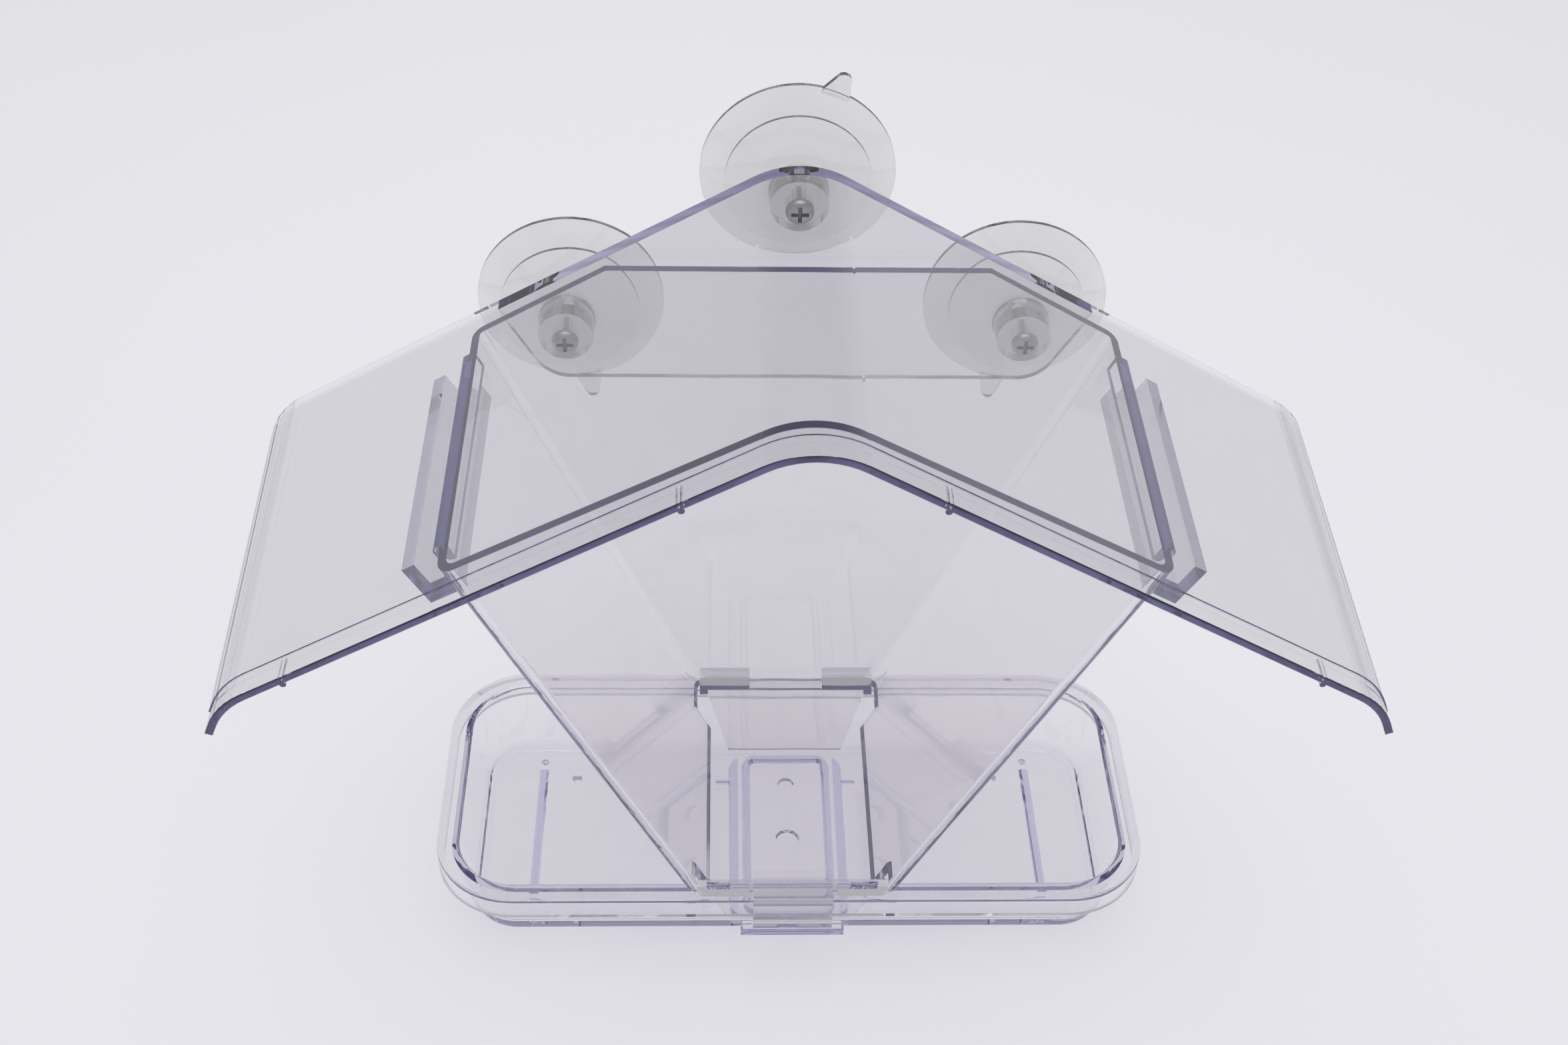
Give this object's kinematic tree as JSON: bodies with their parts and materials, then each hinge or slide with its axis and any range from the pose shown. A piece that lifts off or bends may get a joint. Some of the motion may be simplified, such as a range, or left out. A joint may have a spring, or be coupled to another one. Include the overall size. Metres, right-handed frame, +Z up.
{
  "type": "window bird feeder",
  "caption": "Clear window bird feeder: a gabled roof held to the glass by suction cups, with a slide-out seed hopper that feeds a clip-on tray.",
  "frame": {"origin": "middle of the bounding box, level with the tray's bottom", "axes": "+X across the roof, +Y towards the window, +Z up"},
  "size_m": [0.2464, 0.114, 0.1818],
  "materials": {
    "clear_plastic": "gloss",
    "soft_vinyl": "gloss",
    "zinc_steel": "satin"
  },
  "bodies": {
    "canopy": {"roof": "clear_plastic", "cup_screw_top": "zinc_steel", "cup_screw_left": "zinc_steel", "cup_screw_right": "zinc_steel"},
    "hopper": {"seed_hopper": "clear_plastic"},
    "tray": {"seed_tray": "clear_plastic"},
    "cup_top": {"suction_cup_top": "soft_vinyl"},
    "cup_left": {"suction_cup_left": "soft_vinyl"},
    "cup_right": {"suction_cup_right": "soft_vinyl"}
  },
  "joints": [
    {"name": "hopper_slide", "type": "slide", "parent": "canopy", "child": "hopper", "axis": [0, -1, 0], "range_m": [0, 0.067]},
    {"name": "tray_drop", "type": "slide", "parent": "hopper", "child": "tray", "axis": [0, 0, -1], "range_m": [0, 0.022]},
    {"name": "cup_top_turn", "type": "hinge", "parent": "canopy", "child": "cup_top", "pos_m": [0, 0.049, 0.156], "axis": [0, 1, 0], "continuous": true},
    {"name": "cup_left_turn", "type": "hinge", "parent": "canopy", "child": "cup_left", "pos_m": [-0.0518, 0.049, 0.12148], "axis": [0, 1, 0], "continuous": true},
    {"name": "cup_right_turn", "type": "hinge", "parent": "canopy", "child": "cup_right", "pos_m": [0.0518, 0.049, 0.12148], "axis": [0, 1, 0], "continuous": true}
  ]
}
